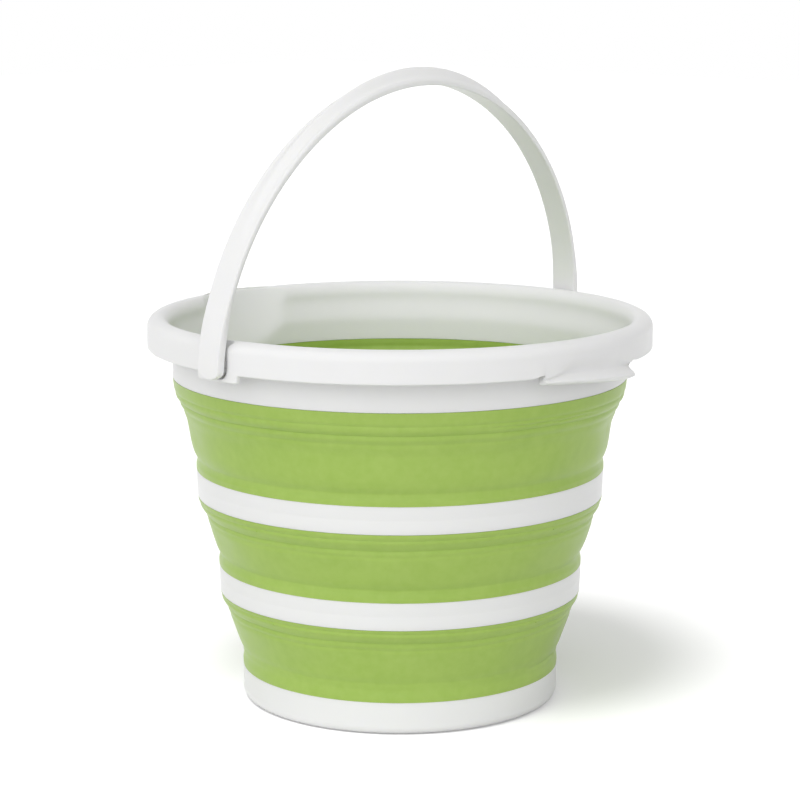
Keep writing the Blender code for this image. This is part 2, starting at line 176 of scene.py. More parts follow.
# %% [markdown]
# ## The studio
#
# The bucket stands on a white sweep that fades into a white background. For the camera the
# sweep adds a little light of its own, so it shows as pure white but keeps the shadow. That
# light reaches only the camera and mirror-like reflections, so it doesn't light the bucket.
# For light that bounces off it the sweep is a greyer paper, as a white one would light the
# bucket too much from below.

# %% Paper sweep
FLOOR_SIZE = 12.0
FLOOR_COLOUR = "#EBEBEB"
FLOOR_BOUNCE = "#BCBCBC"
FLOOR_LIFT = 0.20


def camera_and_gloss(tree):
    """1 for what the eye sees, straight, mirrored or through glass, and 0 for bounced light."""
    path = add_node(tree, "ShaderNodeLightPath")
    seen = add_node(tree, "ShaderNodeMath", {
        0: path.outputs["Is Camera Ray"], 1: path.outputs["Is Glossy Ray"],
    }, operation="MAXIMUM")
    return add_node(tree, "ShaderNodeMath", {
        0: seen.outputs[0], 1: path.outputs["Is Transmission Ray"],
    }, operation="MAXIMUM").outputs[0]


def make_floor():
    select_all(action="DESELECT")
    bpy.ops.mesh.primitive_plane_add(size=FLOOR_SIZE)
    floor = bpy.context.object
    floor.name = "studio_floor"
    material, tree = new_material("studio_paper")
    seen = camera_and_gloss(tree)
    colour = add_node(tree, "ShaderNodeMix", {
        "Factor": seen, "A": linear(FLOOR_BOUNCE), "B": linear(FLOOR_COLOUR),
    }, data_type="RGBA")
    paper = add_node(tree, "ShaderNodeBsdfDiffuse", {"Color": colour.outputs["Result"]})
    lift = add_node(tree, "ShaderNodeMath", {0: seen, 1: FLOOR_LIFT}, operation="MULTIPLY")
    glow = add_node(tree, "ShaderNodeEmission", {"Strength": lift.outputs[0]})
    both = add_node(tree, "ShaderNodeAddShader", {0: paper.outputs[0], 1: glow.outputs[0]})
    add_node(tree, "ShaderNodeOutputMaterial", {"Surface": both.outputs[0]})
    floor.data.materials.append(material)
    print(floor.name, "is", FLOOR_SIZE, "m wide")
    return floor


studio_floor = make_floor()

# %% [markdown]
# The bucket is lit by the room, as in a light tent: dim all round, with one wide bright field
# behind the camera, above it and a little to the left. The camera and the reflections see
# the room as plain white.

# %% Light of the room
ROOM_LIGHT = 0.39
FIELD_LIGHT = 1.36
FIELD_FROM = Vector((-0.82, -0.34, 0.47))


def make_world():
    world = bpy.data.worlds.new("studio_white")
    bpy.context.scene.world = world
    world.use_nodes = True
    tree = world.node_tree
    tree.nodes.clear()
    direction = add_node(tree, "ShaderNodeTexCoord").outputs["Generated"]
    facing = add_node(tree, "ShaderNodeVectorMath", {
        0: direction, 1: FIELD_FROM.normalized(),
    }, operation="DOT_PRODUCT")
    positive = add_node(tree, "ShaderNodeMath", {0: facing.outputs["Value"], 1: 0.0},
                        operation="MAXIMUM")
    squared = add_node(tree, "ShaderNodeMath", {0: positive.outputs[0], 1: 2.0},
                       operation="POWER")
    room = add_node(tree, "ShaderNodeMath", {
        0: squared.outputs[0], 1: FIELD_LIGHT, 2: ROOM_LIGHT,
    }, operation="MULTIPLY_ADD")
    seen = add_node(tree, "ShaderNodeMix", {
        "Factor": camera_and_gloss(tree), "A": room.outputs[0], "B": 1.0,
    })
    sky = add_node(tree, "ShaderNodeBackground", {
        "Color": linear("#FFFFFF"), "Strength": seen.outputs["Result"],
    })
    add_node(tree, "ShaderNodeOutputWorld", {"Surface": sky.outputs[0]})
    print(world.name, len(tree.nodes), "nodes")


make_world()

# %% [markdown]
# One more lamp, high on the left, is linked to the floor alone, where it draws the shadow.

# %% Lamp for the shadow
LAMP_FROM = Vector((-0.395, -0.095, 0.914))
LAMP_SPREAD = math.radians(20.0)
LAMP_STRENGTH = 1.7


def make_lamp(floor):
    """A wide, soft lamp high on the left, which lights only the floor."""
    select_all(action="DESELECT")
    aim = (-LAMP_FROM).to_track_quat("-Z", "Y").to_euler()
    bpy.ops.object.light_add(type="SUN", rotation=aim)
    lamp = bpy.context.object
    lamp.name = "shadow_lamp"
    lamp.data.angle = LAMP_SPREAD
    lamp.data.energy = LAMP_STRENGTH
    lit = bpy.data.collections.new("lit_by_shadow_lamp")
    lit.objects.link(floor)
    lamp.light_linking.receiver_collection = lit
    print(lamp.name, "lights", floor.name)


make_lamp(studio_floor)
bpy.context.scene.view_settings.view_transform = "Standard"

# %% [markdown]
# ## Materials
#
# The hard rings are moulded polypropylene. It is a white, slightly waxy plastic: it has a
# satin gloss, and a little light goes into it and comes out again beside where it went in.
# The mould leaves a very fine grain, drawn here a little coarser than it is, so that it
# shows.

# %% White moulded polypropylene
WHITE_BRIGHT = "#F7F7F7"
WHITE_DULL = "#F3F3F2"
WHITE_CLOUD = 0.06
GRAIN = 0.0009
GRAIN_DEPTH = 0.00002


def make_white():
    material, tree = new_material("moulded_white_polypropylene")
    place = add_node(tree, "ShaderNodeTexCoord").outputs["Object"]
    cloud = add_node(tree, "ShaderNodeTexNoise", {"Vector": place, "Scale": 1 / WHITE_CLOUD})
    tint = add_node(tree, "ShaderNodeMix", {
        "Factor": cloud.outputs["Fac"], "A": linear(WHITE_BRIGHT), "B": linear(WHITE_DULL),
    }, data_type="RGBA")
    grain = add_node(tree, "ShaderNodeTexNoise", {"Vector": place, "Scale": 1 / GRAIN})
    rough = add_node(tree, "ShaderNodeMapRange", {
        "Value": cloud.outputs["Fac"], "To Min": 0.27, "To Max": 0.36,
    })
    bump = add_node(tree, "ShaderNodeBump", {
        "Height": grain.outputs["Fac"], "Distance": GRAIN_DEPTH, "Strength": 0.35,
    })
    shader = add_node(tree, "ShaderNodeBsdfPrincipled", {
        "Base Color": tint.outputs["Result"], "Roughness": rough.outputs["Result"],
        "Normal": bump.outputs["Normal"], "IOR": 1.49, "Subsurface Weight": 0.25,
        "Subsurface Radius": (0.006, 0.006, 0.005), "Subsurface Scale": 1.0,
    })
    add_node(tree, "ShaderNodeOutputMaterial", {"Surface": shader.outputs[0]})
    return material


white = make_white()
print(white.name, len(white.node_tree.nodes), "nodes")

# %% [markdown]
# The sleeves are a soft thermoplastic rubber. It is dyed right through, and its skin is
# duller than the plastic's. As it ages it sweats a thin bloom, which makes its gloss and its
# colour a little uneven, in spots of a few millimetres and in clouds of a few centimetres.

# %% Green soft rubber
GREEN_PLAIN = "#A3C25A"
GREEN_BLOOM = "#ABC864"
BLOOM_CLOUD = 0.035
BLOOM_SPOT = 0.006
SKIN_GRAIN = 0.0011
SKIN_DEPTH = 0.00003
MOTTLE_LOW = 0.7
MOTTLE_HIGH = 1.3


def make_green():
    material, tree = new_material("soft_green_rubber")
    place = add_node(tree, "ShaderNodeTexCoord").outputs["Object"]
    cloud = add_node(tree, "ShaderNodeTexNoise", {
        "Vector": place, "Scale": 1 / BLOOM_CLOUD, "Detail": 3.0,
    })
    spots = add_node(tree, "ShaderNodeTexNoise", {
        "Vector": place, "Scale": 1 / BLOOM_SPOT, "Detail": 2.0,
    })
    mottle = add_node(tree, "ShaderNodeMath", {
        0: cloud.outputs["Fac"], 1: spots.outputs["Fac"],
    }, operation="ADD")
    share = add_node(tree, "ShaderNodeMapRange", {
        "Value": mottle.outputs[0], "From Min": MOTTLE_LOW, "From Max": MOTTLE_HIGH,
    })
    tint = add_node(tree, "ShaderNodeMix", {
        "Factor": share.outputs["Result"], "A": linear(GREEN_PLAIN), "B": linear(GREEN_BLOOM),
    }, data_type="RGBA")
    rough = add_node(tree, "ShaderNodeMapRange", {
        "Value": share.outputs["Result"], "To Min": 0.30, "To Max": 0.42,
    })
    skin = add_node(tree, "ShaderNodeTexNoise", {"Vector": place, "Scale": 1 / SKIN_GRAIN})
    bump = add_node(tree, "ShaderNodeBump", {
        "Height": skin.outputs["Fac"], "Distance": SKIN_DEPTH, "Strength": 0.4,
    })
    shader = add_node(tree, "ShaderNodeBsdfPrincipled", {
        "Base Color": tint.outputs["Result"], "Roughness": rough.outputs["Result"],
        "Normal": bump.outputs["Normal"], "IOR": 1.50, "Specular IOR Level": 0.30,
        "Subsurface Weight": 0.06, "Subsurface Radius": (0.002, 0.003, 0.001),
        "Subsurface Scale": 1.0,
    })
    add_node(tree, "ShaderNodeOutputMaterial", {"Surface": shader.outputs[0]})
    return material


green = make_green()
print(green.name, len(green.node_tree.nodes), "nodes")

# %% [markdown]
# ## Turned pieces
#
# Almost every piece here is round about the bucket's axis, so one way of making serves them
# all. A half section is drawn as a chain of vertices, each extruded from the last, and the
# chain is spun about the axis. Corners are rounded while the section is drawn: an arc takes
# the place of each corner, which gives the same smooth edge all the way round.

# %% Drawing and spinning a section
SPECK = 0.001
MERGE = 0.000002
TURN_STEPS = 240
SMOOTH_ANGLE = math.radians(38.0)


def draw_chain(name, points, closed):
    """Draw (radius, height) points in the XZ plane. Leaves the chain in edit mode."""
    select_all(action="DESELECT")
    bpy.ops.mesh.primitive_plane_add(size=SPECK)
    piece = bpy.context.object
    piece.name = name
    bpy.ops.object.mode_set(mode="EDIT")
    bpy.ops.mesh.merge(type="CENTER")
    bpy.ops.transform.translate(value=(points[0][0], 0.0, points[0][1]))
    for before, after in zip(points, points[1:]):
        step = (after[0] - before[0], 0.0, after[1] - before[1])
        bpy.ops.mesh.extrude_vertices_move(TRANSFORM_OT_translate={"value": step})
    if closed:
        bpy.ops.mesh.select_all(action="SELECT")
        bpy.ops.mesh.edge_face_add()
        bpy.ops.mesh.delete(type="ONLY_FACE")
    return piece


def spin_section(steps, sweep):
    """Spin what is drawn in edit mode about Z."""
    bpy.ops.mesh.select_all(action="SELECT")
    bpy.ops.mesh.spin(steps=steps, angle=sweep, center=(0, 0, 0), axis=(0, 0, -1))


def close_seam(merge):
    """Merge the seam, point the faces out and leave edit mode."""
    bpy.ops.mesh.select_all(action="SELECT")
    bpy.ops.mesh.remove_doubles(threshold=merge)
    bpy.ops.mesh.normals_make_consistent(inside=False)
    bpy.ops.object.mode_set(mode="OBJECT")


def turned_piece(name, points, closed, steps=TURN_STEPS):
    """Draw a section and spin it through a whole turn."""
    piece = draw_chain(name, points, closed)
    spin_section(steps, math.tau)
    close_seam(MERGE)
    return piece


def finish_piece(piece, material):
    """Smooth shading, one material, and the record's slot."""
    select_all(action="DESELECT")
    piece.select_set(True)
    bpy.context.view_layer.objects.active = piece
    bpy.ops.object.shade_smooth_by_angle(angle=SMOOTH_ANGLE)
    piece.data.materials.clear()
    piece.data.materials.append(material)
    print(piece.name, len(piece.data.polygons), "faces")


# %% Arcs and rounded corners


def arc(centre, radii, start, end, steps):
    """Points on an ellipse between two angles in degrees, both ends included."""
    angles = [math.radians(start + (end - start) * i / steps) for i in range(steps + 1)]
    return [(centre[0] + radii[0] * math.cos(a), centre[1] + radii[1] * math.sin(a))
            for a in angles]


def smooth_step(t):
    """0 to 1 with a soft start and a soft end."""
    t = min(1.0, max(0.0, t))
    return t * t * (3 - 2 * t)


def rounded(corners, steps=5):
    """(radius, height, rounding) corners as points, with an arc in place of each corner."""
    points = []
    last = len(corners) - 1
    for i, (radius, height, rounding) in enumerate(corners):
        here = Vector((radius, height))
        if rounding == 0 or i in (0, last):
            points.append((radius, height))
            continue
        back = (Vector(corners[i - 1][:2]) - here).normalized()
        ahead = (Vector(corners[i + 1][:2]) - here).normalized()
        half = back.angle(ahead) / 2
        middle = here + (back + ahead).normalized() * rounding / math.sin(half)
        first = here + back * rounding / math.tan(half) - middle
        turn = first.angle_signed(here + ahead * rounding / math.tan(half) - middle)
        for k in range(steps + 1):
            spoke = first.copy()
            spoke.rotate(Matrix.Rotation(-turn * k / steps, 2))
            points.append(tuple(middle + spoke))
    return points


# %% [markdown]
# ## The base cup
#
# One moulding holds the floor, a ring to stand on and a low wall. Its section starts on the
# axis under the floor, goes round the outside and comes back to the axis over the floor.
# Both ends lie on the axis, so the spin closes them there.

# %% Base cup
FOOT_DEPTH = 0.0015
FOOT_WIDTH = 0.0060
FLOOR_TOP = 0.0040
BASE_CORNER = 0.0058
INNER_CORNER = 0.0040
EDGE_ROUND = 0.0003
FOOT_INNER_ROUND = 0.0008
FOOT_ROUND = 0.0005
SEAM = 0.00008
FOOT_RADIUS = BASE_RADIUS - BASE_CORNER


def make_base_cup():
    inside = BASE_RADIUS - RING_WALL
    top = BASE_TOP - SEAM / 2
    section = rounded([
        (0.0, FOOT_DEPTH, 0),
        (FOOT_RADIUS - FOOT_WIDTH - FOOT_DEPTH, FOOT_DEPTH, FOOT_INNER_ROUND),
        (FOOT_RADIUS - FOOT_WIDTH, 0.0, FOOT_ROUND), (BASE_RADIUS, 0.0, BASE_CORNER),
        (BASE_RADIUS, top, EDGE_ROUND), (inside, top, EDGE_ROUND),
        (inside, FLOOR_TOP, INNER_CORNER), (0.0, FLOOR_TOP, 0),
    ], steps=8)
    piece = turned_piece("base_cup_moulding", section, closed=False)
    finish_piece(piece, white)
    return piece


base_cup = make_base_cup()

# %% [markdown]
# ## The bands
#
# Each band is a plain ring. The two halves of its mould met at mid height, and left a line
# that can just be seen. It is drawn as a groove a millimetre wide, and only about a tenth of
# a millimetre deep.

# %% Bands
PARTING_WIDTH = 0.0005
PARTING_DEPTH = 0.00012


def make_band(name, radius, bottom, top):
    low = bottom + SEAM / 2
    high = top - SEAM / 2
    flare = radius + BAND_FLARE
    middle = radius + BAND_FLARE / 2
    half_way = (low + high) / 2
    section = rounded([
        (radius, low + EDGE_ROUND, 0), (middle, half_way - PARTING_WIDTH, 0),
        (middle - PARTING_DEPTH, half_way, 0), (middle, half_way + PARTING_WIDTH, 0),
        (flare, high, EDGE_ROUND), (flare - RING_WALL, high, EDGE_ROUND),
        (radius - RING_WALL, low, EDGE_ROUND), (radius, low, EDGE_ROUND),
        (radius, low + EDGE_ROUND, 0),
    ])[:-1]
    piece = turned_piece(name, section, closed=True)
    finish_piece(piece, white)
    return piece


lower_band = make_band("lower_band_ring", LOWER_BAND_RADIUS, LOWER_BAND_BOTTOM, LOWER_BAND_TOP)
upper_band = make_band("upper_band_ring", UPPER_BAND_RADIUS, UPPER_BAND_BOTTOM, UPPER_BAND_TOP)

# %% [markdown]
# ## The sleeves
#
# A sleeve is where the bucket folds. Each one has a crease near its foot, where it folds
# back, a smooth belly, and three fold lines under the ring above. Its outline is written as
# shares of the step from ring to ring, and a smooth curve goes through those points. The
# fold lines are then pressed into the curve.

# %% Sleeve outlines
MEMBRANE_WALL = 0.0016
MEMBRANE_EDGE = 0.0045
LOWER_SHARES = [
    (0.000, 0.000), (0.063, 0.007), (0.140, -0.030), (0.200, 0.010), (0.377, 0.204),
    (0.509, 0.366), (0.641, 0.535), (0.763, 0.697), (0.864, 0.845), (0.930, 0.965),
    (1.000, 1.000),
]
MIDDLE_SHARES = [
    (0.000, 0.000), (0.065, 0.005), (0.125, -0.020), (0.190, 0.025), (0.273, 0.126),
    (0.406, 0.300), (0.539, 0.447), (0.716, 0.664), (0.805, 0.767), (0.900, 0.945),
    (1.000, 1.000),
]
UPPER_SHARES = [
    (0.000, 0.000), (0.050, 0.003), (0.100, -0.010), (0.207, 0.109), (0.290, 0.195),
    (0.478, 0.320), (0.560, 0.400), (0.681, 0.613), (0.749, 0.764), (0.817, 0.873),
    (0.885, 0.947), (1.000, 1.000),
]
# Fold lines: how far under the sleeve's top, how deep and how wide. The last is the crease.
FOLD_SHARPNESS = 1.5
LOWER_FOLDS = [(0.0025, 0.0008, 0.0011), (0.0095, 0.0014, 0.0016), (0.0139, 0.0007, 0.0014),
               (0.0370, 0.0007, 0.0024)]
MIDDLE_FOLDS = [(0.0039, 0.0008, 0.0011), (0.0109, 0.0014, 0.0016), (0.0147, 0.0007, 0.0014),
                (0.0372, 0.0010, 0.0024)]
UPPER_FOLDS = [(0.0085, 0.0008, 0.0011), (0.0148, 0.0015, 0.0016), (0.0202, 0.0007, 0.0016),
               (0.0515, 0.0011, 0.0024)]
SPAN_STEPS = 9


def curve_through(points, steps):
    """A smooth curve through points: each span leaves along the line of its neighbours."""
    padded = [points[0], *points, points[-1]]
    curve = [points[0]]
    for a, b, c, d in zip(padded, padded[1:], padded[2:], padded[3:]):
        a, b, c, d = Vector(a), Vector(b), Vector(c), Vector(d)
        for k in range(1, steps + 1):
            t = k / steps
            leave = (c - a) / 2 * (t - 2 * t * t + t ** 3)
            arrive = (d - b) / 2 * (t ** 3 - t * t)
            curve.append(tuple(b * (1 - 3 * t * t + 2 * t ** 3) + c * (3 * t * t - 2 * t ** 3)
                               + leave + arrive))
    return curve


def pressed(point, top, folds):
    """The point moved in where a fold line passes."""
    radius, height = point
    for drop, depth, width in folds:
        radius -= depth * math.exp(-abs((height - top + drop) / width) ** FOLD_SHARPNESS)
    return radius, height


def sleeve_section(low, high, shares, folds):
    """Outer side up, then the inner side down, thick where the rings are."""
    rise = high[1] - low[1]
    step = high[0] - low[0]
    outline = [(low[0] + step * out, low[1] + rise * up) for up, out in shares]
    outer = [pressed(p, high[1], folds) for p in curve_through(outline, SPAN_STEPS)]
    inner = []
    for radius, height in outer:
        edge = min(height - low[1], high[1] - height) / MEMBRANE_EDGE
        ease = max(0.0, 1.0 - edge) ** 0.5
        inner.append((radius - MEMBRANE_WALL - (RING_WALL - MEMBRANE_WALL) * ease, height))
    return outer + inner[::-1]


# %% [markdown]
# Soft rubber is never quite true. After the spin each vertex moves a little in or out, by a
# noise that changes slowly along the sleeve, and the crease wanders up and down. Folding has
# also left a short kink in two of the sleeves, and the mould four small pips on two of them.

# %% Dents and a wandering crease
DENT_DEPTH = 0.0009
DENT_WIDTH = 0.030
DENT_FLATNESS = 1.4
CREASE_WANDER = 0.0008
CREASE_WAVES = 3.1
SEED_RISE = 40.0
EASE_POWER = 1.2


def outward_at(place):
    """The level direction from the bucket's axis to a place."""
    return Vector((place.x, place.y, 0.0)).normalized()


def settle(piece, low, high):
    """Small dents in the belly and a wandering crease, none of it at the rings."""
    for vertex in piece.data.vertices:
        place = vertex.co
        share = (place.z - low) / (high - low)
        ease = max(0.0, math.sin(math.pi * min(1.0, max(0.0, share)))) ** EASE_POWER
        outward = outward_at(place)
        dent = noise.noise(Vector((place.x, place.y, DENT_FLATNESS * place.z)) / DENT_WIDTH)
        wander = noise.noise(outward * CREASE_WAVES + Vector((0.0, 0.0, SEED_RISE * low)))
        vertex.co = place + outward * DENT_DEPTH * dent * ease
        vertex.co.z += CREASE_WANDER * wander * ease


# %% Scars and pips
SCAR_WANDER = 0.0008
SCAR_WAVES = 9.0
SCAR_FADE_RATE = 3
PIP_RADIUS = 0.0006
PIP_TURN = 0.6
PIP_AIM = 0.150


def scar(piece, height, first, last, depth, width):
    """A short kink that folding has left, between two angles in degrees."""
    for vertex in piece.data.vertices:
        place = vertex.co
        turn = math.degrees(math.atan2(place.y, place.x))
        share = min(turn - first, last - turn) / (last - first)
        ease = smooth_step(SCAR_FADE_RATE * share)
        outward = outward_at(place)
        line = height + SCAR_WANDER * noise.noise(outward * SCAR_WAVES)
        vertex.co = place - outward * depth * ease * math.exp(-((place.z - line) / width) ** 2)


def add_pips(piece, height):
    """Four moulding pips, a quarter turn apart, at the outer vertex nearest to each place."""
    for quarter in range(4):
        turn = math.radians(PIP_TURN + 90 * quarter)
        aim = Vector((PIP_AIM * math.cos(turn), PIP_AIM * math.sin(turn), height))
        nearest = min(piece.data.vertices, key=lambda vertex: (vertex.co - aim).length_squared)
        select_all(action="DESELECT")
        bpy.ops.mesh.primitive_uv_sphere_add(segments=12, ring_count=8, radius=PIP_RADIUS,
                                             location=nearest.co)
        piece.select_set(True)
        bpy.context.view_layer.objects.active = piece
        bpy.ops.object.join()


# %% The three sleeves
# Scars: how far from the ring, first and last angle in degrees, depth and width.
LOWER_SCAR = (0.0102, -88.0, -58.0, 0.0011, 0.0014)
UPPER_SCAR = (0.0113, -122.0, -74.0, 0.0008, 0.0007)
LOWER_PIP_DROP = 0.0110
MIDDLE_PIP_DROP = 0.0118


def make_sleeve(name, low, high, shares, folds):
    low = (low[0], low[1] + SEAM / 2)
    high = (high[0], high[1] - SEAM / 2)
    piece = turned_piece(name, sleeve_section(low, high, shares, folds), closed=True)
    settle(piece, low[1], high[1])
    return piece


lower_sleeve = make_sleeve(
    "lower_sleeve", (BASE_RADIUS, BASE_TOP), (LOWER_BAND_RADIUS, LOWER_BAND_BOTTOM),
    LOWER_SHARES, LOWER_FOLDS)
middle_sleeve = make_sleeve(
    "middle_sleeve", (LOWER_BAND_RADIUS + BAND_FLARE, LOWER_BAND_TOP),
    (UPPER_BAND_RADIUS, UPPER_BAND_BOTTOM), MIDDLE_SHARES, MIDDLE_FOLDS)
upper_sleeve = make_sleeve(
    "upper_sleeve", (UPPER_BAND_RADIUS + BAND_FLARE, UPPER_BAND_TOP),
    (APRON_RADIUS, RIM_BOTTOM), UPPER_SHARES, UPPER_FOLDS)
scar(upper_sleeve, RIM_BOTTOM - UPPER_SCAR[0], *UPPER_SCAR[1:])
scar(lower_sleeve, BASE_TOP + LOWER_SCAR[0], *LOWER_SCAR[1:])
add_pips(lower_sleeve, LOWER_BAND_BOTTOM - LOWER_PIP_DROP)
add_pips(middle_sleeve, UPPER_BAND_BOTTOM - MIDDLE_PIP_DROP)
for sleeve in (lower_sleeve, middle_sleeve, upper_sleeve):
    finish_piece(sleeve, green)

# %% [markdown]
# ## The rim
#
# The rim is one moulding that does many things. An apron stands on the top sleeve. It rises
# to a rolled lip, which turns down into a skirt. At both ends of the pivot axis the skirt
# hangs lower as an ear, with a pocket in it for the handle. At the front it hangs lower too,
# as a lip to hold while pouring, and at the back a round channel through the lip makes the
# spout.
#
# Cutting all that out of a ring would leave hard, ragged edges. So a plain ring is spun
# first, and then every station round it gets the section that the rim has there. All
# sections have the same number of points, so the ring keeps clean rows of faces.

# %% The plain section
CREST_RADIUS = 0.1525
LIP_INNER_RADIUS = 0.1455
ROLL_HEIGHT = 0.0068
INNER_DROP = 0.0090
FLARE_BOTTOM = RIM_TOP - 0.0268
HOOD_DROP = 0.0220
SKIRT_BOTTOM = RIM_TOP - 0.0198
EDGE = 0.0008
FLOOR_SHARE = 0.55
CREST_START = 78
UNDER_START = 172
FLARE_STEPS = 10
# How many points the parts have, from the skirt's edge over the lip and back to the skirt.
LOW_COUNT = 2
FLOOR_COUNT = 12
WALL_COUNT = 7
ROLL_COUNT = 14
CREST_COUNT = 3
FALL_COUNT = 14
APRON_COUNT = 6
OUTSIDE_COUNT = 8
TO_UNDER_COUNT = 3
UNDER_COUNT = 8
HOOD_COUNT = 8
INSIDE_COUNT = 9


def run(first, last, count):
    """count points on the way from first to last, without first."""
    return [(first[0] + (last[0] - first[0]) * i / count,
             first[1] + (last[1] - first[1]) * i / count) for i in range(1, count + 1)]


def skirt_edge(bottom):
    """Round the skirt's lower edge, from its inside to its outside."""
    inside = SKIRT_RADIUS - RING_WALL
    return (arc((inside + EDGE / 2, bottom + EDGE / 2), (EDGE / 2, EDGE / 2), 180, 270, 2)
            + arc((SKIRT_RADIUS - EDGE, bottom + EDGE), (EDGE, EDGE), 270, 360, 3))


def plain_section(bottom):
    """The rim's section where it carries nothing: parts with fixed numbers of points."""
    inside = SKIRT_RADIUS - RING_WALL
    shoulder = RIM_TOP - ROLL_HEIGHT
    start = (SKIRT_RADIUS, bottom + EDGE)
    low = (SKIRT_RADIUS, bottom + 2 * EDGE)
    middle = (SKIRT_RADIUS, low[1] + FLOOR_SHARE * (shoulder - low[1]))
    roll_centre = (CREST_RADIUS, shoulder)
    roll_size = (SKIRT_RADIUS - CREST_RADIUS, ROLL_HEIGHT)
    roll = arc(roll_centre, roll_size, 0, CREST_START, ROLL_COUNT)
    crest = arc(roll_centre, roll_size, CREST_START, 90, CREST_COUNT)
    drop_centre = (CREST_RADIUS, RIM_TOP - INNER_DROP)
    fall = arc(drop_centre, (CREST_RADIUS - LIP_INNER_RADIUS, INNER_DROP), 90, 180,
               FALL_COUNT)
    wall = APRON_RADIUS - RING_WALL
    flare = []
    for i in range(1, FLARE_STEPS + 1):
        ease = smooth_step(i / FLARE_STEPS)
        height = fall[-1][1] + (FLARE_BOTTOM - fall[-1][1]) * i / FLARE_STEPS
        flare.append((LIP_INNER_RADIUS + (wall - LIP_INNER_RADIUS) * ease, height))
    foot = RIM_BOTTOM + SEAM / 2
    hood_foot = (APRON_RADIUS, RIM_TOP - HOOD_DROP)
    under = arc(drop_centre, (CREST_RADIUS - LIP_INNER_RADIUS - RING_WALL,
                              INNER_DROP - RING_WALL), UNDER_START, 90, UNDER_COUNT)
    hood = arc(roll_centre, [length - RING_WALL for length in roll_size], 90, 0, HOOD_COUNT)
    return {
        "edge": skirt_edge(bottom),
        "low": run(start, low, LOW_COUNT),
        "floor": run(low, middle, FLOOR_COUNT),
        "panel": run(middle, (SKIRT_RADIUS, shoulder), WALL_COUNT) + roll,
        "crest": crest[1:],
        "fall": fall[1:],
        "flare": flare,
        "apron": run(flare[-1], (wall, foot + EDGE_ROUND), APRON_COUNT),
        "foot": [(wall + EDGE_ROUND, foot), (APRON_RADIUS - EDGE_ROUND, foot),
                 (APRON_RADIUS, foot + EDGE_ROUND)],
        "outside": run((APRON_RADIUS, foot + EDGE_ROUND), hood_foot, OUTSIDE_COUNT),
        "under": run(hood_foot, under[0], TO_UNDER_COUNT)[:-1] + under,
        "hood": hood[1:],
        "inside": run((inside, shoulder), (inside, bottom + EDGE / 2), INSIDE_COUNT)[:-1],
    }


PARTS = list(plain_section(SKIRT_BOTTOM))
print("points in a section:", sum(len(p) for p in plain_section(SKIRT_BOTTOM).values()))

# %% [markdown]
# The pocket keeps the lip's inner half and takes the rest away: the outside turns into a
# floor, and then a flat panel that the handle's stud goes through. Seen from the side the
# pocket is a U. Its edge is rounded off into the skirt, a little more up the sides than under
# the floor.

# %% The pocket's section
EAR_BOTTOM = RIM_TOP - 0.0246
POCKET_HALF_WIDTH = 0.0088
POCKET_PANEL = 0.1536
POCKET_PANEL_WALL = 0.0020
POCKET_FLOOR = EAR_BOTTOM + 0.0018
POCKET_CORNER = 0.0058
POCKET_EDGE = 0.0010


def move_points(section, parts, new_radius):
    """Move the points of some parts in or out, to what new_radius(radius, height) says."""
    for part in parts:
        section[part] = [(new_radius(radius, height), height)
                         for radius, height in section[part]]


def pocket_floor(across):
    """Height of the U's bottom at a distance across from its middle."""
    beyond = across - (POCKET_HALF_WIDTH - POCKET_CORNER)
    if beyond <= 0:
        return POCKET_FLOOR
    return POCKET_FLOOR + POCKET_CORNER - math.sqrt(max(0.0, POCKET_CORNER ** 2 - beyond ** 2))


def edge_setback(across, height):
    """How far the skirt's outer side stands back beside the U, to round its edge off."""
    centre = POCKET_FLOOR + POCKET_CORNER
    if height >= centre:
        distance = across - POCKET_HALF_WIDTH
    else:
        aside = max(0.0, across - (POCKET_HALF_WIDTH - POCKET_CORNER))
        distance = math.hypot(aside, centre - height) - POCKET_CORNER
    rounding = EDGE + (POCKET_EDGE - EDGE) * smooth_step((height - POCKET_FLOOR) / POCKET_CORNER)
    left = rounding - max(0.0, distance)
    return rounding - math.sqrt(rounding ** 2 - left ** 2) if left > 0 else 0.0


def pocket_section(across):
    """Section at a distance across from the pocket's middle."""
    section = plain_section(EAR_BOTTOM)
    floor = pocket_floor(across)
    panel = math.hypot(POCKET_PANEL, across)
    back = math.hypot(POCKET_PANEL - POCKET_PANEL_WALL, across)
    front = SKIRT_RADIUS - edge_setback(across, floor)
    corner = 2 * EDGE_ROUND
    section["low"] = [(SKIRT_RADIUS, (EAR_BOTTOM + floor) / 2), (SKIRT_RADIUS, floor - EDGE / 2)]
    section["floor"] = run((front, floor), (panel + corner, floor), FLOOR_COUNT)
    crest = section["panel"][-1]
    turn = arc((panel + corner, floor + corner), (corner, corner), 270, 180, 3)
    upper = arc((panel - EDGE, RIM_TOP - 1.5 * EDGE), (EDGE, EDGE), 0, 60, 3)
    wall = run(turn[-1], upper[0], len(section["panel"]) - len(turn) - len(upper))
    section["panel"] = turn + wall + upper[1:] + [crest]
    move_points(section, ("inside", "hood"), lambda radius, height: min(radius, back))
    first = section["edge"][0]
    section["edge"][0] = (min(first[0], back), first[1])
    return section


# %% [markdown]
# The pouring grip backs the skirt and scoops a neck out of it, which leaves a lip for the
# fingers. The lip hangs lower and stands out farther at its right end. Over the lip the neck
# runs into the skirt, softly in the middle and within a few millimetres at both ends.

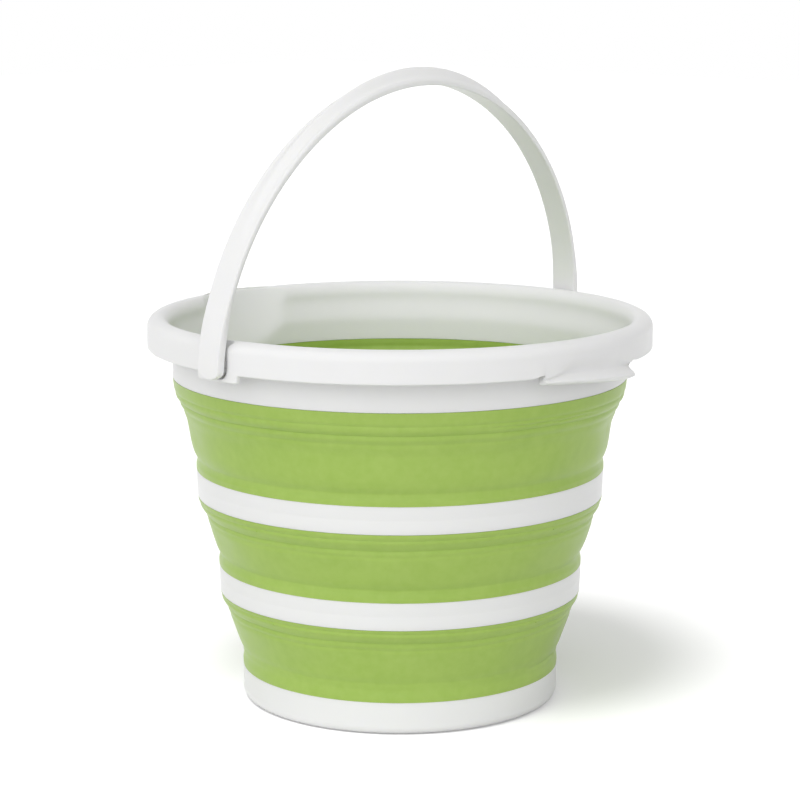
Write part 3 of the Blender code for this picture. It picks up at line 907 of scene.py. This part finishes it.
# %% The grip's outline
GRIP_LEFT_BOTTOM = RIM_TOP - 0.0242
GRIP_FALL = 0.0054
GRIP_FALL_MORE = 0.0010
GRIP_LEFT_SIZE = 0.62
TIP_RADIUS = 0.1609
TIP_REACH = 0.0003
TIP_REACH_MORE = 0.0008
TIP_RISE = 0.0033
NECK_RADIUS = 0.1566
NECK_LEFT_RADIUS = 0.1586
NECK_RISE = 0.0092
NECK_TOP = SKIRT_BOTTOM - 0.0010
NECK_SHARES = [(0.22, 0.30), (0.62, 0.58)]
FLICK_START = 0.7
# Over the full neck: how far out of the neck or back from the skirt, and how far up.
OVER_NECK = (0.0008, 0.0036)
UNDER_SKIRT = (0.0011, 0.0072)
INTO_SKIRT = (0.0001, 0.0110)
# At both ends the neck is short, and the skirt starts soon over it.
SHORT_NECK_SHARE = 0.4
SHORT_NECK_TOP = 0.0060
GRIP_SPAN_STEPS = 3
NECK_PLACE = GRIP_SPAN_STEPS * (len(NECK_SHARES) + 1)


def toward(first, last, out_share, up_share):
    """A point between two others, with its own shares of the way out and the way up."""
    return (first[0] + (last[0] - first[0]) * out_share,
            first[1] + (last[1] - first[1]) * up_share)


def grip_outline(along, inner):
    """Bottom, tip and the curve from the tip to the shoulder. along is 0 at the left end and
    1 at the right end; inner is 0 at both ends and 1 where the neck has its full height."""
    bottom = GRIP_LEFT_BOTTOM - GRIP_FALL * along - GRIP_FALL_MORE * along ** 2
    size = GRIP_LEFT_SIZE + (1 - GRIP_LEFT_SIZE) * along
    reach = TIP_REACH * along + TIP_REACH_MORE * smooth_step(
        (along - FLICK_START) / (1 - FLICK_START))
    tip = (TIP_RADIUS + reach, bottom + TIP_RISE * size)
    shoulder = (SKIRT_RADIUS, RIM_TOP - ROLL_HEIGHT)
    full_neck = (NECK_RADIUS, bottom + NECK_RISE * size)
    end_neck = (NECK_LEFT_RADIUS + (NECK_RADIUS - NECK_LEFT_RADIUS) * along,
                min(full_neck[1], NECK_TOP))
    neck = toward(end_neck, full_neck, inner, inner)
    short = [(SKIRT_RADIUS - SHORT_NECK_SHARE * (SKIRT_RADIUS - neck[0]),
              SKIRT_BOTTOM - EDGE / 4),
             (SKIRT_RADIUS, SKIRT_BOTTOM + EDGE), (SKIRT_RADIUS, SKIRT_BOTTOM + SHORT_NECK_TOP)]
    full = [(neck[0] + OVER_NECK[0], neck[1] + OVER_NECK[1] * size),
            (SKIRT_RADIUS - UNDER_SKIRT[0], neck[1] + UNDER_SKIRT[1] * size),
            (SKIRT_RADIUS - INTO_SKIRT[0], neck[1] + INTO_SKIRT[1] * size)]
    below = [toward(tip, neck, *shares) for shares in NECK_SHARES]
    above = [toward(a, b, inner, inner) for a, b in zip(short, full)]
    curve = curve_through([tip, *below, neck, *above, shoulder], GRIP_SPAN_STEPS)
    return bottom, tip, [(min(radius, SKIRT_RADIUS) if i > NECK_PLACE else radius, height)
                         for i, (radius, height) in enumerate(curve)]


# %% The grip's section
GRIP_BACK = 0.1533
GRIP_END_ROUND = 0.0008
# Under the lip: how far out of its back, and how far up.
LIP_UNDER = [(0.0035, 0.0), (0.0057, 0.0009)]
TIP_UNDER = (0.0006, 0.0022)
BACK_TOP = RIM_TOP - 0.0110
BACK_FADE = 0.0060
OUTER_PARTS = ("edge", "low", "floor", "panel")


def backed(radius, height):
    """The skirt's inner side, moved in to the grip's back from BACK_TOP down."""
    depth = min(1.0, max(0.0, (BACK_TOP - height) / BACK_FADE))
    return radius + (GRIP_BACK - radius) * depth


def grip_section(along, inner, lift):
    """Section of the grip. lift rounds its bottom edge off at both ends."""
    bottom, tip, curve = grip_outline(along, inner)
    bottom += lift
    section = plain_section(bottom)
    size = (tip[1] - bottom) / TIP_RISE
    under = [(GRIP_BACK + out, bottom + up * size) for out, up in LIP_UNDER]
    under += [(tip[0] - TIP_UNDER[0], bottom + TIP_UNDER[1] * size), tip]
    section["edge"] = arc((GRIP_BACK + EDGE / 2, bottom + EDGE / 2), (EDGE / 2, EDGE / 2),
                          180, 270, 2) + under
    floor_start = 1 + LOW_COUNT
    panel_start = floor_start + FLOOR_COUNT
    section["low"] = curve[1:floor_start]
    section["floor"] = curve[floor_start:panel_start]
    section["panel"] = curve[panel_start:] + section["panel"][WALL_COUNT:]
    move_points(section, ("inside",), backed)
    return section


def grip_cap(along):
    """An end of the grip with the lip drawn back flat, which closes the end with a face."""
    section = grip_section(along, 0.0, GRIP_END_ROUND)
    move_points(section, OUTER_PARTS,
                lambda radius, height: GRIP_BACK if height < SKIRT_BOTTOM else radius)
    return section


# %% [markdown]
# The spout is a round channel that leans outwards as it rises. Where the channel is farther
# out than the plain lip, the inner side moves out to it, and a soft maximum keeps the
# boundary smooth.

# %% The spout's section
SPOUT_CHANNEL = 0.0600
SPOUT_REACH = 0.1575
SPOUT_TILT = math.radians(22.5)
SPOUT_WALL = 0.0022
SPOUT_EDGE = 0.0004
SPOUT_LIP = 0.0020
SPOUT_SOFTNESS = 0.002
CHANNEL_SOFTNESS = 0.0016
LIP_ZONE = 0.001
HIDDEN_GAP = 0.0002
HIDDEN_SHARE = 0.05
HIDDEN_STEP = 0.0001


def channel_radius(angle, height):
    """Distance of the channel's outer side from the bucket's axis, at an angle off +Y."""
    deep = SPOUT_CHANNEL / math.cos(SPOUT_TILT)
    centre = SPOUT_REACH - deep - (RIM_TOP - height) * math.tan(SPOUT_TILT)
    side = math.sin(angle)
    ahead = math.cos(angle)
    a = (side / SPOUT_CHANNEL) ** 2 + (ahead / deep) ** 2
    b = -2 * ahead * centre / deep ** 2
    c = (centre / deep) ** 2 - 1
    root = b * b - 4 * a * c
    return (-b + math.sqrt(root)) / (2 * a) if root > 0 else 0.0


def soft_max(a, b, softness):
    """The larger of two lengths, with a smooth change from one to the other."""
    h = max(0.0, softness - abs(a - b)) / softness
    return max(a, b) + h * h * softness / 4


def spout_section(angle):
    """Section at an angle off the middle of the spout."""
    crest = soft_max(CREST_RADIUS, channel_radius(angle, RIM_TOP) + SPOUT_EDGE, SPOUT_SOFTNESS)
    crest = min(crest, SKIRT_RADIUS - SPOUT_LIP)
    section = plain_section(SKIRT_BOTTOM)
    shoulder = RIM_TOP - ROLL_HEIGHT
    width = SKIRT_RADIUS - crest
    roll = arc((crest, shoulder), (width, ROLL_HEIGHT), 0, 90, ROLL_COUNT + CREST_COUNT)
    section["panel"] = section["panel"][:WALL_COUNT] + roll[:ROLL_COUNT + 1]
    section["crest"] = roll[ROLL_COUNT + 1:]
    move_points(section, ("fall", "flare", "apron"), lambda radius, height: soft_max(
        radius, channel_radius(angle, height), CHANNEL_SOFTNESS))
    shift = crest - CREST_RADIUS
    move_points(section, ("fall",), lambda radius, height: (
        max(radius, min(radius + shift, crest)) if height > RIM_TOP - LIP_ZONE else radius))
    limit = SKIRT_RADIUS - RING_WALL - HIDDEN_GAP
    for part in ("outside", "under", "hood"):
        moved = []
        for radius, height in section[part]:
            out = soft_max(radius, channel_radius(angle, height) + SPOUT_WALL, SPOUT_SOFTNESS)
            if out > limit:
                low = height
                while channel_radius(angle, low) + SPOUT_WALL > limit and low > SKIRT_BOTTOM:
                    low -= HIDDEN_STEP
                out = limit - HIDDEN_SHARE * (limit - radius)
                height = low + HIDDEN_SHARE * (height - low)
            moved.append((out, height))
        section[part] = moved
    return section


# %% [markdown]
# Now the stations. They are close together where the section changes fast, at the walls of
# the ears and the pockets, at the ends of the grip and over the spout, and about two degrees
# apart elsewhere. Near the ears a station is a plane across the pivot axis and not a plane
# through the bucket's axis, because the walls of a pocket are parallel.

# %% Stations round half the rim
NEAR = 0.00002
FILLET_SHARE = 0.6
GRIP_ANGLE = math.radians(15.0)
EAR_ZONE = 0.0190
EAR_HALF_WIDTH = 0.0168
BESIDE_EAR = 0.03
BESIDE_GRIP = 0.06
SPOUT_ZONE = math.radians(64.0)
SPOUT_FINE_ZONE = math.radians(66.0)
# How many stations each stretch has, from the middle of the grip to the middle of the spout.
GRIP_STATIONS = 16
GRIP_END_STATIONS = 5
BESIDE_GRIP_STATIONS = 8
FRONT_STATIONS = 34
BACK_STATIONS = 30
SPOUT_STATIONS = 40
# Distances from the pivot axis: where the ear starts, its wall, and the U of the pocket.
EAR_PLACES = [
    0.0182, 0.0177, 0.0173, 0.0170, EAR_HALF_WIDTH + NEAR, EAR_HALF_WIDTH, 0.0167, 0.0165,
    0.0162, 0.0158, 0.0154, 0.0148, 0.0141, 0.0136, 0.0131, 0.0126, 0.0121, 0.0116, 0.0112,
    0.0108, 0.0104, 0.0100, 0.0097, 0.0094, 0.0092, 0.0090, 0.00885,
]
POCKET_PLACES = [
    POCKET_HALF_WIDTH + NEAR, POCKET_HALF_WIDTH, 0.0087, 0.0085, 0.0082, 0.0078, 0.0073,
    0.0067, 0.0060, 0.0052, 0.0044, 0.0036, 0.0026, 0.0013,
]


def corner_drop(distance, top, bottom, radius):
    """Height of an edge that steps from top to bottom at distance 0, with round corners."""
    if distance >= radius:
        return bottom
    if distance >= 0:
        return bottom + radius - math.sqrt(max(0.0, radius ** 2 - (radius - distance) ** 2))
    fillet = FILLET_SHARE * radius
    if distance <= -fillet:
        return top
    return top - fillet + math.sqrt(max(0.0, fillet ** 2 - (fillet + distance) ** 2))


def steps_between(first, last, count):
    return [first + (last - first) * i / count for i in range(count)]


def half_stations():
    """(kind, angle or distance across) round the rim from -Y, past +X, to +Y."""
    grip_start = -math.pi / 2
    grip_end = grip_start + GRIP_ANGLE
    edge_angle = GRIP_END_ROUND / SKIRT_RADIUS
    ear_angle = math.asin(EAR_ZONE / SKIRT_RADIUS) + BESIDE_EAR
    near = NEAR / SKIRT_RADIUS
    angles = steps_between(grip_start, grip_end - edge_angle, GRIP_STATIONS)
    angles += steps_between(grip_end - edge_angle, grip_end, GRIP_END_STATIONS) + [grip_end]
    stations = [("angle", a) for a in angles] + [("cap", grip_end + near)]
    beside = grip_end + BESIDE_GRIP
    angles = [grip_end + 2 * near]
    angles += steps_between(grip_end + edge_angle / 3, beside, BESIDE_GRIP_STATIONS)
    angles += steps_between(beside, -ear_angle, FRONT_STATIONS) + [-ear_angle]
    stations += [("angle", a) for a in angles]
    places = [EAR_ZONE] + EAR_PLACES + POCKET_PLACES
    stations += [("across", -a) for a in places] + [("across", 0.0)]
    stations += [("across", a) for a in reversed(places)]
    angles = steps_between(ear_angle, SPOUT_FINE_ZONE, BACK_STATIONS)
    angles += steps_between(SPOUT_FINE_ZONE, math.pi / 2, SPOUT_STATIONS) + [math.pi / 2]
    stations += [("angle", a) for a in angles]
    return stations


# %% The section at each station
EAR_CORNER = 0.0013
MOUTH_ROUND = 0.0054
MOUTH_FADE = 0.0030
GRIP_FADE = math.radians(8.0)
BESIDE_GRIP_RISE = 0.0015
BESIDE_GRIP_PLACE = 0.0015
BESIDE_GRIP_WIDTH = 0.0040


def ear_section(across):
    """Section near the pivot axis: skirt, ear wall or pocket."""
    distance = abs(across)
    if distance <= POCKET_HALF_WIDTH:
        return pocket_section(distance)
    bottom = corner_drop(EAR_HALF_WIDTH - distance, SKIRT_BOTTOM, EAR_BOTTOM, EAR_CORNER)
    section = plain_section(bottom)
    move_points(section, OUTER_PARTS, lambda radius, height: (
        radius - edge_setback(distance, height) * (radius > POCKET_PANEL)))
    beside = POCKET_HALF_WIDTH + MOUTH_ROUND - distance
    if beside > 0:
        sag = MOUTH_ROUND - math.sqrt(max(0.0, MOUTH_ROUND ** 2 - beside ** 2))
        lowered = []
        for radius, height in section["panel"]:
            out = smooth_step((radius - POCKET_PANEL) / MOUTH_FADE)
            lowered.append((radius, height - max(0.0, height - RIM_TOP + sag) * out))
        section["panel"] = lowered
    return section


def beside_grip(distance):
    """The skirt's lower edge at a distance past the grip's end, where it rises a little."""
    off = (distance - BESIDE_GRIP_PLACE) / BESIDE_GRIP_WIDTH
    return SKIRT_BOTTOM + BESIDE_GRIP_RISE * math.exp(-off ** 2)


def section_at(kind, value, side):
    """Points of the section at a station, as one list."""
    off = value + math.pi / 2
    if kind == "across":
        section = ear_section(value)
    elif kind == "cap":
        section = grip_cap(0.5 + side / 2)
    elif off <= GRIP_ANGLE:
        left = (GRIP_ANGLE - off) * SKIRT_RADIUS
        lift = corner_drop(left, GRIP_END_ROUND, 0.0, GRIP_END_ROUND)
        inner = smooth_step((GRIP_ANGLE - off) / GRIP_FADE)
        section = grip_section(0.5 + side * off / (2 * GRIP_ANGLE), inner, lift)
    elif value > SPOUT_ZONE:
        section = spout_section(math.pi / 2 - value)
    else:
        section = plain_section(beside_grip((off - GRIP_ANGLE) * SKIRT_RADIUS))
    return [point for part in PARTS for point in section[part]]


half = half_stations()
stations = [(kind, value, 1) for kind, value in half]
stations += [(kind, value, -1) for kind, value in reversed(half[:-1])]
print("stations round the rim:", len(stations))

# %% [markdown]
# The chain is spun through a whole turn, with one step from each station to the next. Each
# vertex has kept the number of its point along the chain, and its angle says its station, so
# both together say where it goes. The handle's strap is made the same way later, with half a
# turn.

# %% Spinning a piece whose section changes
START_SLACK = 0.001


def mark_points(piece, points):
    """Give each vertex of a drawn chain the number of its point."""
    mark = piece.data.attributes.new("point", "INT", "POINT")
    for vertex in piece.data.vertices:
        here = Vector((vertex.co.x, vertex.co.z))
        mark.data[vertex.index].value = min(
            range(len(points)), key=lambda i: (here - Vector(points[i])).length_squared)


def station_of(vertex, steps, sweep):
    """Which step of the spin a vertex belongs to."""
    turn = math.atan2(vertex.co.y, vertex.co.x)
    return round((turn if turn > -START_SLACK else turn + math.tau) / sweep * steps)


def spin_and_shape(name, points, steps, sweep, merge, place):
    """Spin a closed chain, and put each vertex where place(point, station) says."""
    piece = draw_chain(name, points, closed=True)
    bpy.ops.object.mode_set(mode="OBJECT")
    mark_points(piece, points)
    bpy.ops.object.mode_set(mode="EDIT")
    spin_section(steps, sweep)
    bpy.ops.object.mode_set(mode="OBJECT")
    mark = piece.data.attributes["point"]
    for vertex in piece.data.vertices:
        point = mark.data[vertex.index].value
        vertex.co = place(point, station_of(vertex, steps, sweep))
    piece.data.attributes.remove(mark)
    bpy.ops.object.mode_set(mode="EDIT")
    close_seam(merge)
    return piece


# %% Spin and shape the rim
PLAIN_ANGLE = 0.9


def rim_place(point, station):
    """Place of a section's point at a station round the rim."""
    kind, value, side = stations[station]
    radius, height = sections[station][point]
    if kind == "across":
        return side * math.sqrt(radius ** 2 - value ** 2), value, height
    return side * radius * math.cos(value), radius * math.sin(value), height


sections = [section_at(*station) for station in stations]
rim = spin_and_shape("rim_moulding", section_at("angle", PLAIN_ANGLE, 1),
                     len(stations) - 1, math.tau, MERGE, rim_place)
finish_piece(rim, white)

# %% [markdown]
# ## The handle
#
# The handle is a strap bent to half a circle. Near its pivots it is flat and a little
# thicker, where it carries the studs. Towards the top its outer side swells to a dome that
# fills the hand, with a shallow valley and a bead along each edge. It leans a little to the
# front, as it comes to rest.

# %% The strap's section
HANDLE_WIDTH = 0.0182
HANDLE_WALL = 0.0053
EDGE_ACROSS = 0.0009
EDGE_OUT = 0.0026
INNER_ROUND = 0.0007
CROWN_SHARE = 0.74
BEAD_SHARE = 0.92
BEAD_WIDTH_SHARE = 0.10
INNER_ROUND_STEPS = 4
SIDE_COUNT = 3
EDGE_STEPS = 9
FACE_COUNT = 26


def strap_section():
    """(across, out) points round the strap: its back, one edge, its front, the other edge."""
    half = HANDLE_WIDTH / 2
    back = arc((half - INNER_ROUND, INNER_ROUND), (INNER_ROUND, INNER_ROUND), 270, 360,
               INNER_ROUND_STEPS)
    front = arc((half - EDGE_ACROSS, HANDLE_WALL - EDGE_OUT), (EDGE_ACROSS, EDGE_OUT), 0, 90,
                EDGE_STEPS)
    edge = back + run(back[-1], front[0], SIDE_COUNT)[:-1] + front
    face = run(front[-1], (0.0, HANDLE_WALL), FACE_COUNT)
    right = [(0.0, 0.0), (half / 2, 0.0), *edge, *face]
    left = [(-across, out) for across, out in right[1:-1]]
    return right + left[::-1]


def front_height(across):
    """How much of the crown and of the bead stands at a distance across."""
    share = abs(across) / (HANDLE_WIDTH / 2 - EDGE_ACROSS)
    dome = smooth_step(1 - share / CROWN_SHARE)
    bead = math.exp(-((share - BEAD_SHARE) / BEAD_WIDTH_SHARE) ** 2)
    return dome, bead


def edge_inset(out):
    """How far the rounded edge stands back at a height in the strap's thickness."""
    if out < INNER_ROUND:
        return INNER_ROUND - math.sqrt(INNER_ROUND ** 2 - (INNER_ROUND - out) ** 2)
    over = (out - (HANDLE_WALL - EDGE_OUT)) / EDGE_OUT
    if over > 0:
        return EDGE_ACROSS * (1 - math.sqrt(max(0.0, 1 - over ** 2)))
    return 0.0


# %% [markdown]
# Each point of the section is then placed along the arch, where the crown and the beads rise
# and the strap gets thinner away from the pivots. Past the pivots the section narrows to a
# rounded tip.

# %% The strap along its arch
HANDLE_RADIUS = 0.1611
HANDLE_SQUARENESS = 0.0006
CROWN = 0.0066
BEAD = 0.0011
SWELL_POWER = 4
THINNER_INSIDE = 0.0009
THINNER_OUTSIDE = 0.0010
THINNER_AT_TOP_SHARE = 0.7
THIN_FROM = 0.018
THIN_FADE = 0.030
FRONT = HANDLE_WALL - 0.0001
END_DROP = 0.0060
ARCH_STEPS = 150
END_STEPS = 14
END_MERGE = MERGE * 10


def strap_point(across, out, station):
    """Place of a section point in the pivot's frame, before the lean."""
    turn = 180.0 * (station - END_STEPS) / ARCH_STEPS
    angle = math.radians(min(180.0, max(0.0, turn)))
    swell = math.sin(angle) ** SWELL_POWER
    if out > FRONT:
        dome, bead = front_height(across)
        out += swell * (CROWN * dome + BEAD * bead)
    along = HANDLE_RADIUS * min(angle, math.pi - angle)
    thin = smooth_step((along - THIN_FROM) / THIN_FADE)
    share = min(1.0, out / HANDLE_WALL)
    hollow = THINNER_INSIDE * (1 - THINNER_AT_TOP_SHARE * swell)
    out += thin * (hollow * (1 - share) - THINNER_OUTSIDE * share)
    beyond = max(END_STEPS - station, station - END_STEPS - ARCH_STEPS)
    if beyond > 0:
        half_turn = math.pi / 2 * beyond / END_STEPS
        inset = edge_inset(out)
        half = HANDLE_WIDTH / 2
        width = across / max(half - inset, NEAR) if abs(across) > 0 else 0.0
        side = 1 if station < END_STEPS else -1
        span = HANDLE_RADIUS + HANDLE_SQUARENESS + out
        return Vector((side * span, width * (half - inset) * math.cos(half_turn),
                       -(END_DROP - inset) * math.sin(half_turn)))
    radius = HANDLE_RADIUS + HANDLE_SQUARENESS * math.cos(4 * angle) + out
    return Vector((radius * math.cos(angle), across, radius * math.sin(angle)))


def make_strap():
    section = strap_section()
    placed = [(HANDLE_RADIUS + out, across) for across, out in section]
    return spin_and_shape("handle_strap", placed, ARCH_STEPS + 2 * END_STEPS, math.pi,
                          END_MERGE, lambda point, station: strap_point(*section[point], station))


# %% [markdown]
# Inside each end of the strap a boss, a stud and a snap head are turned about the pivot axis.
# They are joined to the strap by a Boolean union, as they are one moulding.

# %% Studs
STUD_RADIUS = 0.0040
STUD_HEAD_LIP = 0.0007
STUD_HEAD_LENGTH = 0.0022
STUD_HEAD_CHAMFER = 0.0012
STUD_ROUND = 0.0003
STUD_STEPS = 64
STUD_LIP_ROUND = 0.0002
BOSS_RADIUS = 0.0052
BOSS_ROUND = 0.0004
RUNNING_GAP = 0.0004


def make_stud(side):
    """A stud on the strap's inner side, at +X or -X."""
    panel_back = POCKET_PANEL - POCKET_PANEL_WALL
    head = panel_back - RUNNING_GAP
    tip = head - STUD_HEAD_LENGTH
    head_radius = STUD_RADIUS + STUD_HEAD_LIP
    face = POCKET_PANEL + RUNNING_GAP
    root = HANDLE_RADIUS + HANDLE_SQUARENESS + HANDLE_WALL / 2
    section = rounded([
        (0.0, tip, 0), (head_radius - STUD_HEAD_CHAMFER, tip, STUD_ROUND),
        (head_radius, tip + STUD_HEAD_CHAMFER, STUD_ROUND), (head_radius, head, STUD_LIP_ROUND),
        (STUD_RADIUS, head, 0), (STUD_RADIUS, face, 0), (BOSS_RADIUS, face, BOSS_ROUND),
        (BOSS_RADIUS, root, 0), (0.0, root, 0),
    ], steps=3)
    stud = turned_piece(f"stud_{side:+d}", section, closed=False, steps=STUD_STEPS)
    stud.data.transform(Matrix.Rotation(side * math.pi / 2, 4, "Y"))
    return stud


# %% The finished handle
LEAN = math.radians(4.9)
PIVOT_HEIGHT = RIM_TOP - 0.0168


def make_handle():
    strap = make_strap()
    for side in (1, -1):
        stud = make_stud(side)
        select_all(action="DESELECT")
        bpy.context.view_layer.objects.active = strap
        union = strap.modifiers.new("stud", "BOOLEAN")
        union.object = stud
        union.operation = "UNION"
        union.solver = "EXACT"
        bpy.ops.object.modifier_apply(modifier=union.name)
        bpy.data.objects.remove(stud)
    lean = Matrix.Translation((0, 0, PIVOT_HEIGHT)) @ Matrix.Rotation(LEAN, 4, "X")
    strap.data.transform(lean)
    finish_piece(strap, white)
    return strap


handle = make_handle()

# %% [markdown]
# ## Joining the pieces to the moving bodies
#
# The cup, the rings and the handle each stand for one solid of the frame and ride on its body. A
# sleeve lies between two bodies, the ring below it and the ring above, but here it only takes the
# place of its solid: its place is baked into its vertices, and it rides on neither body.

# %% Bodies and replaced nodes
LOWER_CREASE = 0.0290
MIDDLE_CREASE = 0.0930
UPPER_CREASE = 0.1550

for piece, node, body in (
    (base_cup, "base_cup", "base"), (lower_band, "lower_band", "lower_band"),
    (upper_band, "upper_band", "upper_band"), (rim, "rim", "rim"), (handle, "handle", "handle"),
):
    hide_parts(node)
    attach(piece, body)
    print(piece.name, "rides on", body)

for piece, node, below, above, crease, top in (
    (lower_sleeve, "lower_membrane", "base", "lower_band", LOWER_CREASE, LOWER_BAND_BOTTOM),
    (middle_sleeve, "middle_membrane", "lower_band", "upper_band", MIDDLE_CREASE,
     UPPER_BAND_BOTTOM),
    (upper_sleeve, "upper_membrane", "upper_band", "rim", UPPER_CREASE, RIM_BOTTOM),
):
    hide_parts(node)
    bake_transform(piece)
    print(piece.name, "joins", below, "to", above)
